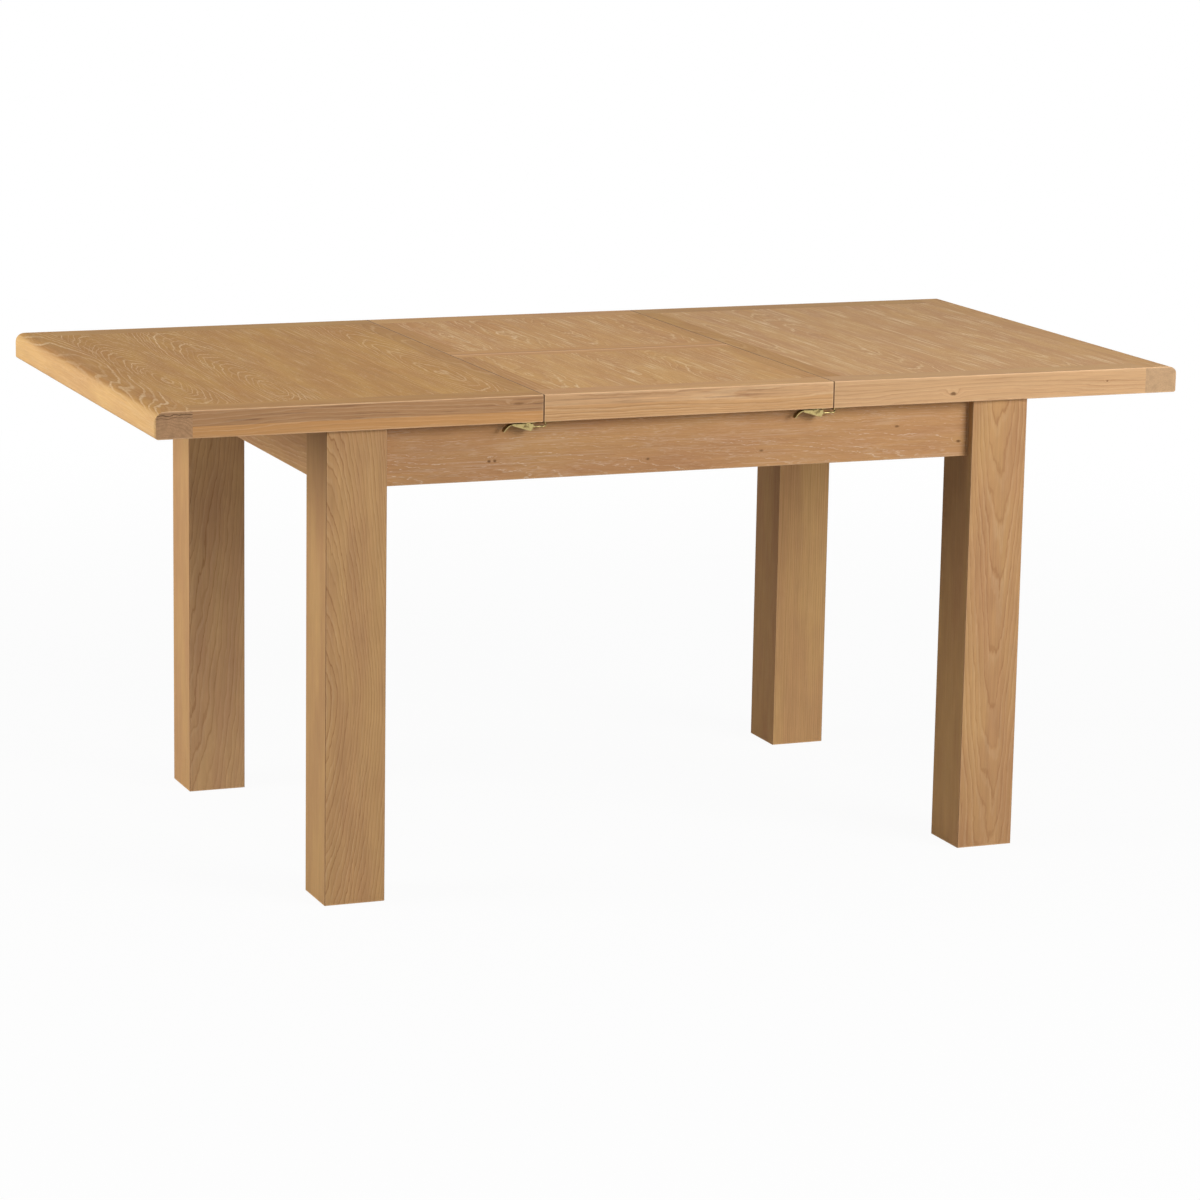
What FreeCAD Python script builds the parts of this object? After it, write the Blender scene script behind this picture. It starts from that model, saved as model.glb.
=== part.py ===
import FreeCAD, Part
import math
import os

# An extending dining table: a four-legged frame, two end tops that slide apart on it, and a centre
# leaf in two halves that fold together. X runs along the table, Y from front (-) to back (+), Z up.
# The origin is on the floor under the middle of the table. Lengths are in millimetres.

Vector = FreeCAD.Vector

# --- Driving dimensions: the whole table ---
table_height = 780.0
top_depth = 850.0
end_top_length = 612.8
leaf_length = 486.0
seam_gap = 0.4
fold_gap = 0.4

# --- The top's boards ---
edge_thickness = 42.0
panel_thickness = 24.0
end_board_width = 58.0
lipping_width = 50.0
seam_strip_width = 36.0
leaf_strip_width = 30.0
fold_strip_width = 30.0
end_round_upper = 17.0
end_round_lower = 6.5
corner_round = 6.0
long_edge_round = 1.5
seam_edge_round = 0.8

# --- Legs and aprons ---
frame_length = 1178.0
leg_overhang = 8.0
leg_size = 97.0
leg_edge_round = 1.6
apron_height = 91.0
apron_thickness = 22.0
apron_setback = 15.0
apron_edge_round = 1.5
slide_gap = 0.5

# --- Corner blocks, their bolts and the floor glides ---
block_thickness = 34.0
block_height = 40.0
block_lift = 8.0
leg_chamfer = 14.0
bolt_radius = 3.8
bolt_depth_in_leg = 46.0
bolt_tail = 16.0
bolt_clearance = 0.4
washer_radius = 11.0
washer_thickness = 1.6
nut_sides = 6
nut_across_flats = 13.0
nut_height = 6.5
glide_radius = 14.0
glide_thickness = 1.0
glide_stem_radius = 4.0
glide_stem_length = 14.0

# --- Slides: a fixed guide bar between two runners, in front and at the back ---
guide_width = 24.0
guide_height = 44.0
runner_width = 24.0
runner_height = 50.0
runner_relief = 0.5
runner_reach = 57.0
runner_to_leg = 21.7
runner_float = 4.0
slide_clearance = 0.3
tongue_height = 10.0
tongue_depth = 8.0
tongue_drop = 32.0
over_travel = 30.0
stop_clearance = 1.0

# --- Cross rails and the pivots that carry the folded leaf ---
rail_width = 30.0
rail_height = 40.0
rail_tenon = 6.0
rail_clearance = 12.0
pivot_block_length = 44.0
pivot_block_clearance = 2.0
pivot_drop = 12.0
pivot_place = 0.25
pivot_radius = 4.0
pivot_clearance = 0.05
pivot_in_block = 24.0
pivot_head_radius = 6.5
pivot_head_thickness = 2.0
bracket_thickness = 3.0
bracket_width = 36.0
bracket_flange = 34.0
bracket_inset = 6.0
bracket_below_pivot = 11.0

# --- Hinge barrels in the fold edges ---
barrel_count = 3
barrel_spacing = 170.0
barrel_radius = 6.0
barrel_length = 22.0
barrel_drop = 12.0
barrel_slot_width = 3.2
barrel_slot_height = 8.0
barrel_slot_depth = 14.0

# --- Wood screws ---
screw_radius = 1.8
screw_length = 22.0
screw_head_radius = 3.6
screw_head_height = 2.0
counterbore_radius = 4.4
runner_screw_grip = 14.0
runner_screw_count = 3
runner_screw_margin = 50.0
rail_screw_grip = 12.0
pivot_screw_spread = 13.0
bracket_screw_spread = 11.0

# --- Lever latches under the seams; u runs from the seam towards the hook, w up from the underside ---
latch_inset = 12.5
latch_plate_thickness = 1.5
latch_plate_start = -34.0
latch_plate_end = -10.0
latch_plate_width = 15.0
latch_screw_margin = 3.9
latch_pin_u = -22.0
latch_pin_w = -6.5
latch_pin_radius = 1.5
latch_pin_overhang = 0.7
latch_pin_clearance = 0.1
ear_radius = 3.2
ear_thickness = 1.4
lever_width = 11.4
lever_sheet = 1.4
lever_side_clearance = 0.3
lever_top_left = (-48.0, -2.6)
lever_top_right = (-14.5, -3.6)
lever_nose = (-13.5, -7.5)
lever_tip = (-18.0, -14.5)
lever_heel = (-48.0, -5.4)
lever_rounds = [0.8, 1.4, 1.8, 1.4, 0.8]
hollow_rounds = [0.0, 0.0, 0.8, 0.8, 0.4]
hollow_nose_sheets = 1.3
hollow_tip_sheets = 0.2
hollow_tip_rise_sheets = 1.5
hollow_heel_rise_sheets = 0.9
tongue_root = (-46.0, -2.7)
tongue_crown = (-54.9, -5.6)
tongue_end = (-62.2, -14.2)
tongue_width = 12.4
tongue_round = 5.0
hook_radius = 1.3
hook_start_u = -19.0
hook_w = -8.9
hook_bend = 2.6
hook_bend_u = 5.1
hook_rise = 0.4
hook_head_radius = 2.1
hook_head_thickness = 1.1
keeper_start = 4.0
keeper_end = 31.0
keeper_thickness = 1.2
keeper_width = 12.0
keeper_lip = 4.0
keeper_screw_first = 14.0
keeper_screw_pitch = 10.0

# --- Levels worked out from the sizes above ---
edge_bottom = table_height - edge_thickness
panel_bottom = table_height - panel_thickness
frame_top = edge_bottom - slide_gap
apron_bottom = frame_top - apron_height
leg_bottom = glide_thickness
runner_bottom = panel_bottom - runner_height
rail_top = runner_bottom - runner_float
rail_bottom = rail_top - rail_height
guide_top = rail_top + guide_height
tongue_z = panel_bottom - tongue_drop
pivot_z = panel_bottom - pivot_drop
block_bottom = apron_bottom + block_lift

# --- Places along X and Y worked out from the sizes above ---
half_depth = top_depth / 2
half_leaf = leaf_length / 2
top_inner_x = half_leaf + seam_gap
top_outer_x = top_inner_x + end_top_length
leg_outer_x = frame_length / 2
leg_inner_x = leg_outer_x - leg_size
leg_outer_y = half_depth - leg_overhang
leg_inner_y = leg_outer_y - leg_size
apron_outer_x = leg_outer_x - apron_setback
apron_inner_x = apron_outer_x - apron_thickness
apron_outer_y = leg_outer_y - apron_setback
apron_inner_y = apron_outer_y - apron_thickness
outer_runner_y = leg_inner_y - runner_to_leg - runner_width / 2
slide_pitch = runner_width / 2 + slide_clearance + guide_width / 2
guide_y = outer_runner_y - slide_pitch
inner_runner_y = guide_y - slide_pitch
rail_inner_x = half_leaf + rail_clearance
rail_outer_x = rail_inner_x + rail_width
pivot_y = -half_depth * pivot_place
latch_y = half_depth - latch_inset

# The largest cross product at which an edge still counts as running along an axis.
parallel_limit = 1e-6

FRONT = -1
BACK = 1
LEFT = -1
RIGHT = 1
SIDE_NAMES = {LEFT: "left", RIGHT: "right"}
FACE_NAMES = {FRONT: "front", BACK: "back"}


# --- Shared shapes ---

def block(x_range, y_range, z_range):
    """A box between two values on each axis, given in either order."""
    x0, x1 = sorted(x_range)
    y0, y1 = sorted(y_range)
    z0, z1 = sorted(z_range)
    return Part.makeBox(x1 - x0, y1 - y0, z1 - z0, Vector(x0, y0, z0))


def round_edges(shape, radius, direction):
    """Rounds the straight edges of a shape that run along one axis."""
    edges = []
    for edge in shape.Edges:
        run = edge.Vertexes[-1].Point.sub(edge.Vertexes[0].Point)
        if run.cross(direction).Length < parallel_limit:
            edges.append(edge)
    return shape.makeFillet(radius, edges)


def outline(corners, radii, place):
    """A closed face through the corners, each rounded by its radius; place turns two values into a point."""
    count = len(corners)
    ends = []
    for i in range(count):
        corner = Vector(*corners[i], 0)
        before = Vector(*corners[i - 1], 0).sub(corner)
        after = Vector(*corners[(i + 1) % count], 0).sub(corner)
        half_turn = before.getAngle(after) / 2
        before.normalize()
        after.normalize()
        setback = radii[i] / math.tan(half_turn)
        bisector = before.add(after)
        bisector.normalize()
        reach = radii[i] / math.sin(half_turn) - radii[i]
        ends.append((corner + before * setback, corner + bisector * reach, corner + after * setback))
    edges = []
    for i in range(count):
        first, middle, last = ends[i]
        following = ends[(i + 1) % count][0]
        if radii[i] > 0:
            arc = Part.Arc(place(first.x, first.y), place(middle.x, middle.y), place(last.x, last.y))
            edges.append(arc.toShape())
        edges.append(Part.makeLine(place(last.x, last.y), place(following.x, following.y)))
    return Part.Face(Part.Wire(edges))


def write(node, solids):
    """Writes one node: a solid, or a group of separate solids."""
    shape = solids[0] if len(solids) == 1 else Part.makeCompound(solids)
    shape.exportStep("parts/" + node + ".step")


def wood_screw(head, direction):
    """A countersunk screw whose flat head face is at head and whose point lies along direction."""
    cone = Part.makeCone(screw_head_radius, screw_radius, screw_head_height, head, direction)
    shank = Part.makeCylinder(screw_radius, screw_length, head, direction)
    return cone.fuse(shank).removeSplitter()


def counterbore(mouth, direction, depth):
    """The wide hole that lets a screw's head down to its seat."""
    return Part.makeCylinder(counterbore_radius, depth, mouth, direction)


def without(shape, tools):
    """A shape with each tool cut away."""
    for tool in tools:
        shape = shape.cut(tool)
    return shape


UP = Vector(0, 0, 1)
ALONG_X = Vector(1, 0, 0)
ALONG_Y = Vector(0, 1, 0)


# --- Frame ---

def corner_bolt_axis(side, face):
    """Where a corner bolt starts inside its leg, and its direction towards the table's middle."""
    chamfer_x = side * (leg_inner_x + leg_chamfer / 2)
    chamfer_y = face * (leg_inner_y + leg_chamfer / 2)
    inward = Vector(-side, -face, 0)
    inward.normalize()
    seat = Vector(chamfer_x, chamfer_y, block_bottom + block_height / 2)
    return seat, inward


def corner_bolt(side, face):
    """A plain rod from inside the leg to past the corner block."""
    seat, inward = corner_bolt_axis(side, face)
    length = bolt_depth_in_leg + block_thickness + washer_thickness + nut_height + bolt_tail
    return Part.makeCylinder(bolt_radius, length, seat - inward * bolt_depth_in_leg, inward)


def corner_washer(side, face):
    seat, inward = corner_bolt_axis(side, face)
    base = seat + inward * block_thickness
    disc = Part.makeCylinder(washer_radius, washer_thickness, base, inward)
    hole = Part.makeCylinder(bolt_radius + bolt_clearance, washer_thickness, base, inward)
    return disc.cut(hole)


def corner_nut(side, face):
    """A hexagonal nut on the corner bolt, its corners pointing up and down."""
    seat, inward = corner_bolt_axis(side, face)
    base = seat + inward * (block_thickness + washer_thickness)
    across = inward.cross(UP)
    radius = nut_across_flats / 2 / math.cos(math.pi / nut_sides)
    points = []
    for i in range(nut_sides):
        turn = 2 * math.pi * i / nut_sides
        points.append(base + UP * (radius * math.cos(turn)) + across * (radius * math.sin(turn)))
    hexagon = Part.Face(Part.makePolygon(points + points[:1]))
    return hexagon.extrude(inward * nut_height).cut(corner_bolt(side, face))


def leg(side, face):
    """A square block, chamfered inside at its corner block and bored for its bolt and floor glide."""
    body = block(
        (side * leg_inner_x, side * leg_outer_x),
        (face * leg_inner_y, face * leg_outer_y),
        (leg_bottom, frame_top),
    )
    body = round_edges(body, leg_edge_round, UP)
    start = Vector(side * leg_inner_x, face * leg_inner_y, block_bottom)
    along_x = start + Vector(side * leg_chamfer, 0, 0)
    along_y = start + Vector(0, face * leg_chamfer, 0)
    triangle = Part.Face(Part.makePolygon([start, along_x, along_y, start]))
    chamfer = triangle.extrude(UP * (frame_top - block_bottom))
    return without(body, [chamfer, corner_bolt(side, face), glide(side, face)])


def glide(side, face):
    """A floor glide: a disc under the leg with a stem that is driven into it."""
    x = side * (leg_inner_x + leg_size / 2)
    y = face * (leg_inner_y + leg_size / 2)
    disc = Part.makeCylinder(glide_radius, glide_thickness, Vector(x, y, 0), UP)
    stem = Part.makeCylinder(glide_stem_radius, glide_stem_length, Vector(x, y, glide_thickness), UP)
    return disc.fuse(stem)


def long_apron(face):
    """The front or back apron, with mortises for the cross rails' tenons."""
    board = block(
        (-leg_inner_x, leg_inner_x),
        (face * apron_inner_y, face * apron_outer_y),
        (apron_bottom, frame_top),
    )
    board = round_edges(board, apron_edge_round, ALONG_X)
    return without(board, [cross_rail(side) for side in (LEFT, RIGHT)])


def end_apron(side):
    board = block(
        (side * apron_inner_x, side * apron_outer_x),
        (-leg_inner_y, leg_inner_y),
        (apron_bottom, frame_top),
    )
    return round_edges(board, apron_edge_round, ALONG_Y)


def corner_block(side, face):
    """A diagonal block between two aprons, its middle against the leg's chamfer."""
    reach = leg_inner_x + leg_inner_y + leg_chamfer
    depth = block_thickness * math.sqrt(2)
    corners = [
        (apron_inner_x, reach - apron_inner_x),
        (reach - apron_inner_y, apron_inner_y),
        (reach - depth - apron_inner_y, apron_inner_y),
        (apron_inner_x, reach - depth - apron_inner_x),
    ]
    points = [Vector(side * x, face * y, block_bottom) for x, y in corners]
    body = Part.Face(Part.makePolygon(points + points[:1])).extrude(UP * block_height)
    seat, inward = corner_bolt_axis(side, face)
    hole = Part.makeCylinder(bolt_radius + bolt_clearance, block_thickness, seat, inward)
    return body.cut(hole)


def cross_rail(side):
    """A rail from front to back under the guide bars, tenoned into the aprons and bored for screws."""
    x_range = (side * rail_inner_x, side * rail_outer_x)
    body = block(x_range, (-apron_inner_y, apron_inner_y), (rail_bottom, rail_top))
    body = round_edges(body, apron_edge_round, ALONG_Y)
    tenon_x = (side * (rail_inner_x + rail_tenon), side * (rail_outer_x - rail_tenon))
    tenon_y = apron_inner_y + rail_tenon
    tenon_z = (rail_bottom + rail_tenon, rail_top - rail_tenon)
    body = body.fuse(block(tenon_x, (-tenon_y, tenon_y), tenon_z))
    for x, y in rail_screw_places(side):
        body = body.cut(counterbore(Vector(x, y, rail_bottom), UP, rail_height - rail_screw_grip))
        body = body.cut(rail_screw(x, y))
    return body


def rail_screw_places(side):
    """Two screws into the guide bars and two into the pivot block, from under the rail."""
    x = side * (rail_inner_x + rail_width / 2)
    return [
        (x, -guide_y),
        (x, guide_y),
        (x, pivot_y - pivot_screw_spread),
        (x, pivot_y + pivot_screw_spread),
    ]


def rail_screw(x, y):
    return wood_screw(Vector(x, y, rail_top - rail_screw_grip), UP)


def all_rail_screws():
    return [rail_screw(x, y) for side in (LEFT, RIGHT) for x, y in rail_screw_places(side)]


def guide_bar(face):
    """A fixed bar with a groove in each side, which a runner's tongue slides in."""
    y_range = (face * guide_y - guide_width / 2, face * guide_y + guide_width / 2)
    body = block((-apron_inner_x, apron_inner_x), y_range, (rail_top, guide_top))
    half_groove = tongue_height / 2 + slide_clearance
    for edge in y_range:
        groove_y = (edge - tongue_depth - slide_clearance, edge + tongue_depth + slide_clearance)
        groove_z = (tongue_z - half_groove, tongue_z + half_groove)
        lower = max(groove_y[0], y_range[0])
        upper = min(groove_y[1], y_range[1])
        body = body.cut(block((-apron_inner_x, apron_inner_x), (lower, upper), groove_z))
    return without(body, all_rail_screws())


def pivot_block(side):
    """A block on the cross rail that holds the leaf's pivot pin."""
    half = pivot_block_length / 2
    body = block(
        (side * rail_inner_x, side * rail_outer_x),
        (pivot_y - half, pivot_y + half),
        (rail_top, panel_bottom - pivot_block_clearance),
    )
    bore = Part.makeCylinder(
        pivot_radius + pivot_clearance,
        pivot_in_block + pivot_clearance,
        Vector(side * rail_inner_x, pivot_y, pivot_z),
        ALONG_X * side,
    )
    return without(body, [bore] + all_rail_screws())


def bracket_face_x():
    """The distance from the middle to the outer face of a pivot bracket's upright."""
    return half_leaf - bracket_inset


def pivot_pin(side):
    """A headed pin from inside the bracket into the pivot block."""
    inner = bracket_face_x() - bracket_thickness
    start = Vector(side * inner, pivot_y, pivot_z)
    length = rail_inner_x + pivot_in_block - inner
    shaft = Part.makeCylinder(pivot_radius, length, start, ALONG_X * side)
    head = Part.makeCylinder(pivot_head_radius, pivot_head_thickness, start, ALONG_X * -side)
    return shaft.fuse(head)


def pivot_bracket(side):
    """A steel angle under the front half of the leaf, bored for the pivot pin."""
    face_x = bracket_face_x()
    y_range = (pivot_y - bracket_width / 2, pivot_y + bracket_width / 2)
    upright = block(
        (side * (face_x - bracket_thickness), side * face_x),
        y_range,
        (pivot_z - bracket_below_pivot, panel_bottom),
    )
    flange = block(
        (side * (face_x - bracket_flange), side * face_x),
        y_range,
        (panel_bottom - bracket_thickness, panel_bottom),
    )
    bore = Part.makeCylinder(
        pivot_radius + pivot_clearance,
        bracket_thickness,
        Vector(side * (face_x - bracket_thickness), pivot_y, pivot_z),
        ALONG_X * side,
    )
    return without(upright.fuse(flange).removeSplitter().cut(bore), bracket_screws(side))


def bracket_screws(side):
    x = side * (bracket_face_x() - bracket_thickness - leaf_strip_width / 2)
    screws = []
    for step in (-bracket_screw_spread, bracket_screw_spread):
        head = Vector(x, pivot_y + step, panel_bottom - bracket_thickness)
        screws.append(wood_screw(head, UP))
    return screws


# --- Tops: each is one outer form, shared out between its boards ---

def end_top_form(side):
    """An end top's outer form: rounded at its free end, nearly sharp along its front, back and seam."""
    length = (side * top_inner_x, side * top_outer_x)
    inner, outer = length
    long_view = outline(
        [(inner, edge_bottom), (outer, edge_bottom), (outer, table_height), (inner, table_height)],
        [seam_edge_round, end_round_lower, end_round_upper, seam_edge_round],
        lambda a, b: Vector(a, -top_depth, b),
    )
    plan = outline(
        [(inner, -half_depth), (outer, -half_depth), (outer, half_depth), (inner, half_depth)],
        [seam_edge_round, corner_round, corner_round, seam_edge_round],
        lambda a, b: Vector(a, b, 0),
    )
    form = long_view.extrude(ALONG_Y * (2 * top_depth))
    form = form.common(plan.extrude(UP * (2 * table_height)))
    return form.common(cross_section(-half_depth, half_depth, long_edge_round, long_edge_round))


def cross_section(front, back, front_round, back_round):
    """The top's section from front to back, drawn out along the whole table."""
    view = outline(
        [(front, edge_bottom), (back, edge_bottom), (back, table_height), (front, table_height)],
        [front_round, back_round, back_round, front_round],
        lambda a, b: Vector(-2 * top_outer_x, a, b),
    )
    return view.extrude(ALONG_X * (4 * top_outer_x))


def leaf_half_form(face):
    """One half of the leaf: nearly sharp all round."""
    fold_y = face * fold_gap / 2
    edge_y = face * half_depth
    ends = (-half_leaf, half_leaf)
    long_view = outline(
        [(ends[0], edge_bottom), (ends[1], edge_bottom), (ends[1], table_height), (ends[0], table_height)],
        [seam_edge_round] * 4,
        lambda a, b: Vector(a, -top_depth, b),
    )
    plan = outline(
        [(ends[0], fold_y), (ends[1], fold_y), (ends[1], edge_y), (ends[0], edge_y)],
        [seam_edge_round] * 4,
        lambda a, b: Vector(a, b, 0),
    )
    form = long_view.extrude(ALONG_Y * (2 * top_depth))
    form = form.common(plan.extrude(UP * (2 * table_height)))
    return form.common(cross_section(fold_y, edge_y, seam_edge_round, long_edge_round))


FULL_EDGE = (edge_bottom, table_height)
PANEL_EDGE = (panel_bottom, table_height)


def end_top_boards(side):
    """The five boards of an end top, by the last part of their names."""
    form = end_top_form(side)
    board_x = top_outer_x - end_board_width
    strip_x = top_inner_x + seam_strip_width
    panel_y = half_depth - lipping_width
    regions = {
        "end_board": ((board_x, top_outer_x), (-half_depth, half_depth), FULL_EDGE),
        "front_lipping": ((top_inner_x, board_x), (-half_depth, -panel_y), FULL_EDGE),
        "back_lipping": ((top_inner_x, board_x), (panel_y, half_depth), FULL_EDGE),
        "seam_strip": ((top_inner_x, strip_x), (-panel_y, panel_y), PANEL_EDGE),
        "panel": ((strip_x, board_x), (-panel_y, panel_y), PANEL_EDGE),
    }
    boards = {}
    for name, (x_range, y_range, z_range) in regions.items():
        mirrored = (side * x_range[0], side * x_range[1])
        boards[name] = form.common(block(mirrored, y_range, z_range))
    return boards


def leaf_half_boards(face):
    """The boards of one half of the leaf, each name with one or two solids."""
    form = leaf_half_form(face)
    panel_x = half_leaf - leaf_strip_width
    strip_y = fold_gap / 2 + fold_strip_width
    panel_y = half_depth - lipping_width
    regions = {
        "lipping": [((-half_leaf, half_leaf), (panel_y, half_depth), FULL_EDGE)],
        "fold_strip": [((-half_leaf, half_leaf), (fold_gap / 2, strip_y), PANEL_EDGE)],
        "panel": [((-panel_x, panel_x), (strip_y, panel_y), PANEL_EDGE)],
        "end_strips": [
            ((-half_leaf, -panel_x), (strip_y, panel_y), PANEL_EDGE),
            ((panel_x, half_leaf), (strip_y, panel_y), PANEL_EDGE),
        ],
    }
    boards = {}
    for name, parts in regions.items():
        solids = []
        for x_range, y_range, z_range in parts:
            mirrored = (face * y_range[0], face * y_range[1])
            solids.append(form.common(block(x_range, mirrored, z_range)))
        boards[name] = solids
    return boards


def runner_y(side, face):
    """The left top's runners are outside the guide bars, and the right top's are inside them."""
    return face * (outer_runner_y if side == LEFT else inner_runner_y)


def runner_screw_heads(side, face):
    """Screw places in a runner, spread over the length that lies under its own top."""
    outer = apron_inner_x - over_travel - stop_clearance
    first = outer - runner_screw_margin
    last = top_inner_x + runner_screw_margin
    places = []
    for i in range(runner_screw_count):
        x = first + (last - first) * i / (runner_screw_count - 1)
        places.append(Vector(side * x, runner_y(side, face), panel_bottom - runner_screw_grip))
    return places


def runner(side, face):
    """A bar under an end top that reaches in under the leaf, with a tongue along its guide bar."""
    y = runner_y(side, face)
    y_range = (y - runner_width / 2, y + runner_width / 2)
    outer = side * (apron_inner_x - over_travel - stop_clearance)
    inner = -side * (half_leaf + runner_reach)
    own_top = block((side * top_inner_x, outer), y_range, (runner_bottom, panel_bottom))
    free_run = block((inner, side * top_inner_x), y_range, (runner_bottom, panel_bottom - runner_relief))
    towards = 1 if face * guide_y > y else -1
    wall = y + towards * runner_width / 2
    tongue_range = (tongue_z - tongue_height / 2, tongue_z + tongue_height / 2)
    tongue = block((inner, outer), (wall, wall + towards * tongue_depth), tongue_range)
    body = own_top.fuse([free_run, tongue]).removeSplitter()
    for head in runner_screw_heads(side, face):
        mouth = Vector(head.x, head.y, runner_bottom)
        body = body.cut(counterbore(mouth, UP, runner_height - runner_screw_grip))
        body = body.cut(wood_screw(head, UP))
    return body


def runner_screws(side):
    return [wood_screw(head, UP) for face in (FRONT, BACK) for head in runner_screw_heads(side, face)]


def barrel_mouths(face):
    """The middle of each hinge barrel's end at the fold edge."""
    mouths = []
    for i in range(barrel_count):
        x = (i - (barrel_count - 1) / 2) * barrel_spacing
        mouths.append(Vector(x, face * fold_gap / 2, table_height - barrel_drop))
    return mouths


def barrel_bores(face):
    """The round holes in the fold edge of one half of the leaf that its hinge barrels fill."""
    bores = []
    for mouth in barrel_mouths(face):
        bores.append(Part.makeCylinder(barrel_radius, barrel_length, mouth, ALONG_Y * face))
    return bores


def hinge_barrels(face):
    """Slotted barrels let into the fold edge of one half of the leaf."""
    barrels = []
    for mouth, barrel in zip(barrel_mouths(face), barrel_bores(face)):
        slot = block(
            (mouth.x - barrel_slot_width / 2, mouth.x + barrel_slot_width / 2),
            (mouth.y, mouth.y + face * barrel_slot_depth),
            (mouth.z - barrel_slot_height / 2, mouth.z + barrel_slot_height / 2),
        )
        barrels.append(barrel.cut(slot))
    return barrels


# --- Lever latches, drawn at a seam in the plane v = 0 and then put in place ---

def side_view(u, w):
    return Vector(u, 0, w)


def thick(face_shape, width):
    """A side view drawn out evenly to both sides of v = 0."""
    body = face_shape.extrude(ALONG_Y * width)
    body.translate(Vector(0, -width / 2, 0))
    return body


def latch_pin():
    length = lever_width + 2 * latch_pin_overhang
    start = Vector(latch_pin_u, -length / 2, latch_pin_w)
    return Part.makeCylinder(latch_pin_radius, length, start, ALONG_Y)


def latch_screws():
    """The two screws of the latch's plate."""
    first = latch_plate_start + latch_screw_margin
    last = latch_plate_end - latch_screw_margin
    return [wood_screw(Vector(u, 0, -latch_plate_thickness), UP) for u in (first, last)]


def latch_base():
    """The plate under the top, with two ears and the pin that the lever turns on."""
    half = latch_plate_width / 2
    plate = block((latch_plate_start, latch_plate_end), (-half, half), (-latch_plate_thickness, 0))
    plate = round_edges(plate, latch_plate_thickness, UP)
    outer = lever_width / 2 - lever_sheet - lever_side_clearance
    body = plate.fuse(latch_pin())
    for side in (-1, 1):
        v_range = (side * outer, side * (outer - ear_thickness))
        u_range = (latch_pin_u - ear_radius, latch_pin_u + ear_radius)
        web = block(u_range, v_range, (latch_pin_w, -latch_plate_thickness))
        start = Vector(latch_pin_u, min(v_range), latch_pin_w)
        body = body.fuse([web, Part.makeCylinder(ear_radius, ear_thickness, start, ALONG_Y)])
    return without(body.removeSplitter(), latch_screws())


def tongue_arc(offset):
    """The tongue's upper curve, or the curve below it by the offset, seen from the side."""
    root = Vector(tongue_root[0], 0, tongue_root[1])
    crown = Vector(tongue_crown[0], 0, tongue_crown[1])
    end = Vector(tongue_end[0], 0, tongue_end[1])
    centre = Part.Arc(root, crown, end).toShape().Curve.Center
    points = []
    for point in (root, crown, end):
        inward = centre - point
        inward.normalize()
        points.append(point + inward * offset)
    return points


def lever():
    """A pressed brass lever: two cheeks and a floor, with a curled tongue for the finger."""
    corners = [lever_top_left, lever_top_right, lever_nose, lever_tip, lever_heel]
    shell = thick(outline(corners, lever_rounds, side_view), lever_width)
    sheet = lever_sheet
    hollow_corners = [
        (lever_top_left[0] + sheet, 0.0),
        (lever_top_right[0] - sheet, 0.0),
        (lever_nose[0] - hollow_nose_sheets * sheet, lever_nose[1]),
        (lever_tip[0] - hollow_tip_sheets * sheet, lever_tip[1] + hollow_tip_rise_sheets * sheet),
        (lever_heel[0] + sheet, lever_heel[1] + hollow_heel_rise_sheets * sheet),
    ]
    hollow = thick(outline(hollow_corners, hollow_rounds, side_view), lever_width - 2 * sheet)
    upper = tongue_arc(0.0)
    lower = tongue_arc(sheet)
    edges = [
        Part.Arc(*upper).toShape(),
        Part.makeLine(upper[2], lower[2]),
        Part.Arc(lower[2], lower[1], lower[0]).toShape(),
        Part.makeLine(lower[0], upper[0]),
    ]
    tongue = thick(Part.Face(Part.Wire(edges)), tongue_width)
    half = tongue_width / 2
    ends = (tongue_end[0] - sheet, tongue_root[0] + tongue_width)
    plan = outline(
        [(ends[0], -half), (ends[1], -half), (ends[1], half), (ends[0], half)],
        [tongue_round, 0, 0, tongue_round],
        lambda a, b: Vector(a, b, -edge_thickness),
    )
    tongue = tongue.common(plan.extrude(UP * (2 * edge_thickness)))
    start = Vector(latch_pin_u, -half, latch_pin_w)
    pin_hole = Part.makeCylinder(latch_pin_radius + latch_pin_clearance, tongue_width, start, ALONG_Y)
    body = shell.cut(hollow).fuse(tongue).removeSplitter()
    return without(body, [pin_hole, hook()])


def hook():
    """A round brass hook fixed in the lever's nose, its end turned up behind the keeper's lip."""
    start = Vector(hook_start_u, 0, hook_w)
    bend_start = Vector(hook_bend_u, 0, hook_w)
    centre = Vector(hook_bend_u, 0, hook_w + hook_bend)
    slant = hook_bend / math.sqrt(2)
    bend_middle = centre + Vector(slant, 0, -slant)
    bend_end = centre + Vector(hook_bend, 0, 0)
    end = bend_end + UP * hook_rise
    path = Part.Wire([
        Part.makeLine(start, bend_start),
        Part.Arc(bend_start, bend_middle, bend_end).toShape(),
        Part.makeLine(bend_end, end),
    ])
    circle = Part.Wire([Part.makeCircle(hook_radius, start, ALONG_X)])
    rod = path.makePipeShell([circle], True, False)
    head = Part.makeCylinder(hook_head_radius, hook_head_thickness, start, ALONG_X * -1)
    return rod.fuse([head, Part.makeSphere(hook_radius, end)]).removeSplitter()


def keeper_screws():
    heads = []
    first = keeper_start + keeper_screw_first
    for u in (first, first + keeper_screw_pitch):
        heads.append(wood_screw(Vector(u, 0, -keeper_thickness), UP))
    return heads


def keeper():
    """The plate on the other side of the seam, with a lip that the hook draws against."""
    half = keeper_width / 2
    plate = block((keeper_start, keeper_end + keeper_thickness), (-half, half), (-keeper_thickness, 0))
    lip = block((keeper_start, keeper_start + keeper_thickness), (-half, half), (-keeper_lip, 0))
    return without(plate.fuse(lip).removeSplitter(), keeper_screws())


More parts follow.
